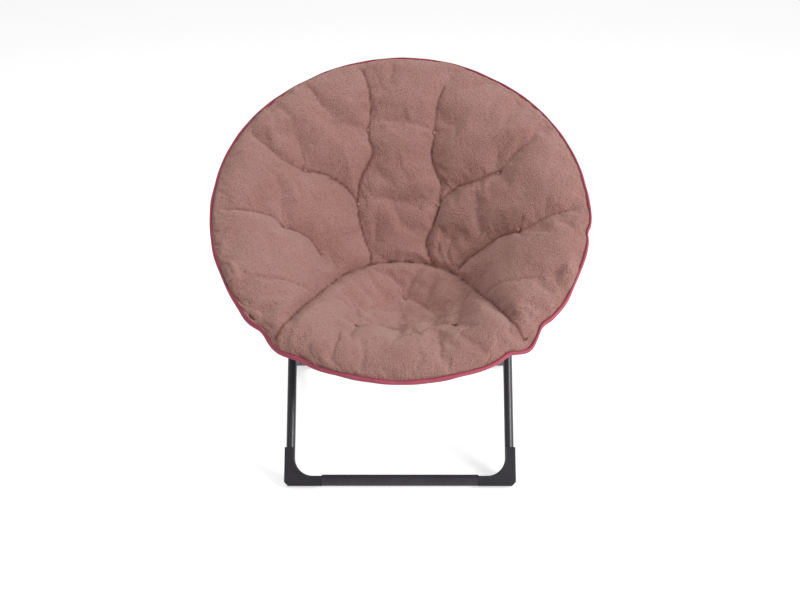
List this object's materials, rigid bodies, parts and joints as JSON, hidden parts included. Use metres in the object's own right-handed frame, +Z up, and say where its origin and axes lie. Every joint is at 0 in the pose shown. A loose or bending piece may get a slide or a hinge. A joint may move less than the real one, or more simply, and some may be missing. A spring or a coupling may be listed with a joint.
{
  "type": "folding saucer chair",
  "caption": "Round padded saucer seat on a hinged tube hoop, carried by two crossed U-shaped legs that fold flat with it.",
  "frame": {"origin": "centre of the footprint, on the floor, below the middle of the chair's width and depth", "axes": "+Z up, -Y to the front (the side a person sits down from), +X to the right seen from the front"},
  "size_m": [0.8006, 0.6449, 0.7574],
  "materials": {
    "tube_paint": "satin",
    "foot_plastic": "satin",
    "sleeve_plastic": "matte",
    "fastener_steel": "satin",
    "sherpa": "matte",
    "piping": "matte",
    "tuft_button": "matte",
    "under_cloth": "matte"
  },
  "bodies": {
    "front_legs": {"cross_bolts": "fastener_steel", "cross_nuts": "fastener_steel", "cross_washers": "sleeve_plastic", "front_floor_sleeve": "sleeve_plastic", "front_foot_left": "foot_plastic", "front_foot_right": "foot_plastic", "front_leg_caps": "foot_plastic", "front_leg_tube": "tube_paint"},
    "rear_legs": {"rear_floor_sleeve": "sleeve_plastic", "rear_foot_left": "foot_plastic", "rear_foot_right": "foot_plastic", "rear_leg_caps": "foot_plastic", "rear_leg_tube": "tube_paint", "seat_rivet_leg_halves": "fastener_steel"},
    "back_frame": {"back_bracket_left": "tube_paint", "back_bracket_right": "tube_paint", "back_cushion": "sherpa", "back_hinge_lug_left": "tube_paint", "back_hinge_lug_right": "tube_paint", "back_hoop_sleeve": "sherpa", "back_hoop_tube": "tube_paint", "back_piping": "piping", "back_rivets": "fastener_steel", "back_seat_cushion": "sherpa", "back_tufts": "tuft_button", "back_under_cloth": "under_cloth", "hinge_pin_left": "fastener_steel", "hinge_pin_right": "fastener_steel", "seat_tuft": "tuft_button"},
    "seat_frame": {"front_bracket_left": "tube_paint", "front_bracket_right": "tube_paint", "front_cushion": "sherpa", "front_hinge_lug_left": "tube_paint", "front_hinge_lug_right": "tube_paint", "front_hoop_sleeve": "sherpa", "front_hoop_tube": "tube_paint", "front_piping": "piping", "front_seat_cushion": "sherpa", "front_under_cloth": "under_cloth", "seat_lip_tufts": "tuft_button", "seat_rivet_bracket_halves": "fastener_steel"}
  },
  "joints": [
    {"name": "leg_cross", "type": "hinge", "parent": "front_legs", "child": "rear_legs", "pos_m": [0, -0.0683, 0.25961], "axis": [1, 0, 0], "range_deg": [-63.07, 0]},
    {"name": "back_pivot", "type": "hinge", "parent": "front_legs", "child": "back_frame", "pos_m": [0, 0.2348, 0.64751], "axis": [1, 0, 0], "range_deg": [0, 22]},
    {"name": "seat_hinge", "type": "hinge", "parent": "back_frame", "child": "seat_frame", "pos_m": [0, -0.13366, 0.424], "axis": [1, 0, 0], "range_deg": [-162, 0], "deforming": ["back_cushion", "front_cushion", "back_seat_cushion", "front_seat_cushion", "back_under_cloth", "front_under_cloth", "back_hoop_sleeve", "front_hoop_sleeve", "back_tufts", "seat_tuft", "seat_lip_tufts"]}
  ],
  "couplings": [
    {"joint": "back_pivot", "follows": "leg_cross", "ratio": -0.34879},
    {"joint": "seat_hinge", "follows": "leg_cross", "ratio": 2.5686}
  ]
}
